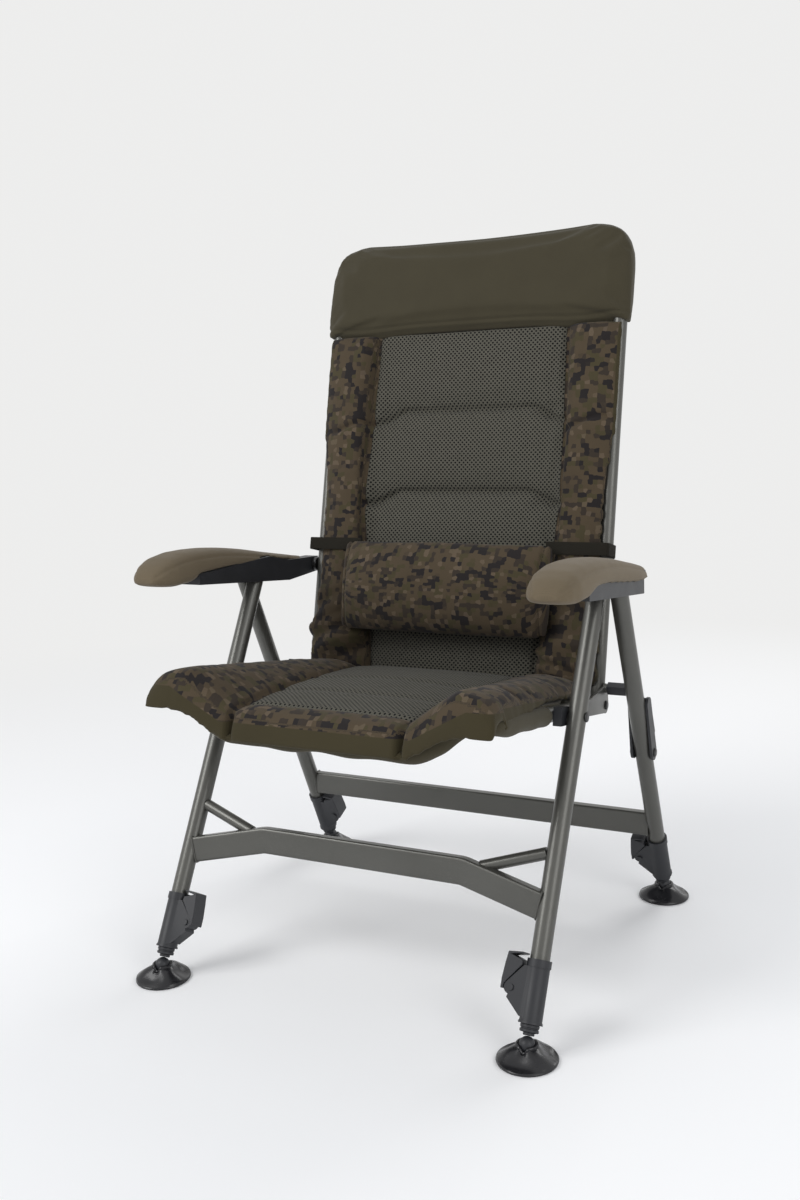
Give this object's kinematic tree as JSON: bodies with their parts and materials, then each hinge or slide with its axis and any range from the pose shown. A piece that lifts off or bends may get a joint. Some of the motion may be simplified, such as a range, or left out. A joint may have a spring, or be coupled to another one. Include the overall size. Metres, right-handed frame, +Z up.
{
  "type": "folding chair",
  "caption": "Folding carp fishing chair with a reclining padded back, armrests, lumbar pillow and four telescopic legs on swivel mud feet.",
  "frame": {"origin": "on the floor under the middle of the chair", "axes": "+Z up, -Y the way the chair faces, +X the sitter's left"},
  "size_m": [0.7168, 0.6552, 1.0939],
  "materials": {
    "frame_steel": "satin gunmetal powder coat",
    "bolt_steel": "dark zinc",
    "black_plastic": "moulded black nylon",
    "foot_plastic": "glossy black moulding",
    "armrest_fabric": "khaki stretch cloth over foam",
    "olive_fabric": "dark olive stretch cloth",
    "camo_fabric": "printed brown and charcoal camouflage with a grey-olive mesh panel"
  },
  "bodies": {
    "front_frame": {"front_crossbar": "frame_steel", "front_leg_left": "frame_steel", "front_brace_left": "frame_steel", "leg_top_pin_left": "bolt_steel", "seat_pivot_bolt_left": "bolt_steel", "clamp_front_left": "black_plastic", "front_leg_right": "frame_steel", "front_brace_right": "frame_steel", "leg_top_pin_right": "bolt_steel", "seat_pivot_bolt_right": "bolt_steel", "clamp_front_right": "black_plastic"},
    "rear_frame": {"rear_crossbar": "frame_steel", "rear_leg_left": "frame_steel", "link_bolt_left": "bolt_steel", "clamp_rear_left": "black_plastic", "rear_leg_right": "frame_steel", "link_bolt_right": "bolt_steel", "clamp_rear_right": "black_plastic"},
    "seat": {"seat_frame": "frame_steel", "seat_sling": "olive_fabric", "seat_pad": "camo_fabric", "hinge_plate_left": "frame_steel", "seat_bracket_left": "black_plastic", "hinge_plate_right": "frame_steel", "seat_bracket_right": "black_plastic"},
    "back_hinge": {"back_hinge_bolt_left": "bolt_steel", "back_hinge_bolt_right": "bolt_steel"},
    "back": {"back_frame": "frame_steel", "back_cross_tube": "frame_steel", "back_sling": "olive_fabric", "back_pad": "camo_fabric", "headrest": "olive_fabric", "lumbar_pillow": "camo_fabric", "pillow_strap": "olive_fabric"},
    "link_left": {"link_left": "black_plastic"},
    "arm_bush_left": {"armrest_bush_left": "bolt_steel"},
    "arm_bolt_left": {"armrest_bolt_left": "bolt_steel"},
    "armrest_left": {"armrest_base_left": "black_plastic", "armrest_pad_left": "armrest_fabric"},
    "link_right": {"link_right": "black_plastic"},
    "arm_bush_right": {"armrest_bush_right": "bolt_steel"},
    "arm_bolt_right": {"armrest_bolt_right": "bolt_steel"},
    "armrest_right": {"armrest_base_right": "black_plastic", "armrest_pad_right": "armrest_fabric"},
    "extension_front_left": {"extension_leg_front_left": "black_plastic"},
    "ball_front_left": {"foot_ball_front_left": "black_plastic"},
    "foot_front_left": {"mud_foot_front_left": "foot_plastic"},
    "lever_front_left": {"cam_lever_front_left": "black_plastic"},
    "extension_front_right": {"extension_leg_front_right": "black_plastic"},
    "ball_front_right": {"foot_ball_front_right": "black_plastic"},
    "foot_front_right": {"mud_foot_front_right": "foot_plastic"},
    "lever_front_right": {"cam_lever_front_right": "black_plastic"},
    "extension_rear_left": {"extension_leg_rear_left": "black_plastic"},
    "ball_rear_left": {"foot_ball_rear_left": "black_plastic"},
    "foot_rear_left": {"mud_foot_rear_left": "foot_plastic"},
    "lever_rear_left": {"cam_lever_rear_left": "black_plastic"},
    "extension_rear_right": {"extension_leg_rear_right": "black_plastic"},
    "ball_rear_right": {"foot_ball_rear_right": "black_plastic"},
    "foot_rear_right": {"mud_foot_rear_right": "foot_plastic"},
    "lever_rear_right": {"cam_lever_rear_right": "black_plastic"}
  },
  "joints": [
    {"name": "leg_fold", "type": "hinge", "parent": "front_frame", "child": "rear_frame", "pos_m": [0, 0.0272, 0.562], "axis": [-1, 0, 0], "range_deg": [0, 48], "deforming": ["seat_pad", "back_pad", "lumbar_pillow"]},
    {"name": "seat_fold", "type": "hinge", "parent": "front_frame", "child": "seat", "pos_m": [0, -0.07025, 0.39401], "axis": [-1, 0, 0], "range_deg": [0, 81.22]},
    {"name": "back_fold", "type": "hinge", "parent": "seat", "child": "back_hinge", "pos_m": [0, 0.12942, 0.35736], "axis": [1, 0, 0], "range_deg": [0, 80]},
    {"name": "recline", "type": "hinge", "parent": "back_hinge", "child": "back", "pos_m": [0, 0.12942, 0.35736], "axis": [1, 0, 0], "range_deg": [-30, 0]},
    {"name": "link_fold_left", "type": "hinge", "parent": "rear_frame", "child": "link_left", "pos_m": [0.318, 0.15033, 0.28297], "axis": [-1, 0, 0], "range_deg": [0, 114.91]},
    {"name": "armrest_fold_left", "type": "hinge", "parent": "back", "child": "arm_bush_left", "pos_m": [0.266, 0.17942, 0.55411], "axis": [-1, 0, 0], "range_deg": [0, 105.4]},
    {"name": "armrest_level_left", "type": "hinge", "parent": "arm_bush_left", "child": "arm_bolt_left", "pos_m": [0.266, 0.17942, 0.55411], "axis": [1, 0, 0], "range_deg": [0, 18]},
    {"name": "armrest_lift_left", "type": "hinge", "parent": "arm_bolt_left", "child": "armrest_left", "pos_m": [0.283, 0.17942, 0.55411], "axis": [-1, 0, 0], "range_deg": [0, 20]},
    {"name": "link_fold_right", "type": "hinge", "parent": "rear_frame", "child": "link_right", "pos_m": [-0.318, 0.15033, 0.28297], "axis": [-1, 0, 0], "range_deg": [0, 114.91]},
    {"name": "armrest_fold_right", "type": "hinge", "parent": "back", "child": "arm_bush_right", "pos_m": [-0.266, 0.17942, 0.55411], "axis": [-1, 0, 0], "range_deg": [0, 105.4]},
    {"name": "armrest_level_right", "type": "hinge", "parent": "arm_bush_right", "child": "arm_bolt_right", "pos_m": [-0.266, 0.17942, 0.55411], "axis": [1, 0, 0], "range_deg": [0, 18]},
    {"name": "armrest_lift_right", "type": "hinge", "parent": "arm_bolt_right", "child": "armrest_right", "pos_m": [-0.283, 0.17942, 0.55411], "axis": [-1, 0, 0], "range_deg": [0, 20]},
    {"name": "extension_front_left", "type": "slide", "parent": "front_frame", "child": "extension_front_left", "axis": [0, -0.5018, -0.865], "range_m": [0, 0.14]},
    {"name": "cam_lever_front_left", "type": "hinge", "parent": "front_frame", "child": "lever_front_left", "pos_m": [0.258, -0.25386, 0.07748], "axis": [0, -0.865, 0.5018], "range_deg": [0, 55]},
    {"name": "foot_pitch_front_left", "type": "hinge", "parent": "extension_front_left", "child": "ball_front_left", "pos_m": [0.288, -0.28662, 0.021], "axis": [1, 0, 0], "range_deg": [-12, 12]},
    {"name": "foot_roll_front_left", "type": "hinge", "parent": "ball_front_left", "child": "foot_front_left", "pos_m": [0.288, -0.28662, 0.021], "axis": [0, 1, 0], "range_deg": [-12, 12]},
    {"name": "extension_front_right", "type": "slide", "parent": "front_frame", "child": "extension_front_right", "axis": [0, -0.5018, -0.865], "range_m": [0, 0.14]},
    {"name": "cam_lever_front_right", "type": "hinge", "parent": "front_frame", "child": "lever_front_right", "pos_m": [-0.258, -0.25386, 0.07748], "axis": [0, 0.865, -0.5018], "range_deg": [0, 55]},
    {"name": "foot_pitch_front_right", "type": "hinge", "parent": "extension_front_right", "child": "ball_front_right", "pos_m": [-0.288, -0.28662, 0.021], "axis": [1, 0, 0], "range_deg": [-12, 12]},
    {"name": "foot_roll_front_right", "type": "hinge", "parent": "ball_front_right", "child": "foot_front_right", "pos_m": [-0.288, -0.28662, 0.021], "axis": [0, 1, 0], "range_deg": [-12, 12]},
    {"name": "extension_rear_left", "type": "slide", "parent": "rear_frame", "child": "extension_rear_left", "axis": [0, 0.4037, -0.9149], "range_m": [0, 0.14]},
    {"name": "cam_lever_rear_left", "type": "hinge", "parent": "rear_frame", "child": "lever_rear_left", "pos_m": [0.288, 0.23957, 0.08074], "axis": [0, -0.9149, -0.4037], "range_deg": [0, 55]},
    {"name": "foot_pitch_rear_left", "type": "hinge", "parent": "extension_rear_left", "child": "ball_rear_left", "pos_m": [0.318, 0.26593, 0.021], "axis": [1, 0, 0], "range_deg": [-12, 12]},
    {"name": "foot_roll_rear_left", "type": "hinge", "parent": "ball_rear_left", "child": "foot_rear_left", "pos_m": [0.318, 0.26593, 0.021], "axis": [0, 1, 0], "range_deg": [-12, 12]},
    {"name": "extension_rear_right", "type": "slide", "parent": "rear_frame", "child": "extension_rear_right", "axis": [0, 0.4037, -0.9149], "range_m": [0, 0.14]},
    {"name": "cam_lever_rear_right", "type": "hinge", "parent": "rear_frame", "child": "lever_rear_right", "pos_m": [-0.288, 0.23957, 0.08074], "axis": [0, 0.9149, 0.4037], "range_deg": [0, 55]},
    {"name": "foot_pitch_rear_right", "type": "hinge", "parent": "extension_rear_right", "child": "ball_rear_right", "pos_m": [-0.318, 0.26593, 0.021], "axis": [1, 0, 0], "range_deg": [-12, 12]},
    {"name": "foot_roll_rear_right", "type": "hinge", "parent": "ball_rear_right", "child": "foot_rear_right", "pos_m": [-0.318, 0.26593, 0.021], "axis": [0, 1, 0], "range_deg": [-12, 12]}
  ],
  "couplings": [
    {"joint": "seat_fold", "follows": "leg_fold", "ratio": 1.6921},
    {"joint": "back_fold", "follows": "leg_fold", "ratio": 1.6667},
    {"joint": "link_fold_left", "follows": "leg_fold", "ratio": 2.394},
    {"joint": "armrest_fold_left", "follows": "leg_fold", "ratio": 2.1958},
    {"joint": "armrest_level_left", "follows": "recline", "ratio": -0.6},
    {"joint": "link_fold_right", "follows": "leg_fold", "ratio": 2.394},
    {"joint": "armrest_fold_right", "follows": "leg_fold", "ratio": 2.1958},
    {"joint": "armrest_level_right", "follows": "recline", "ratio": -0.6}
  ]
}
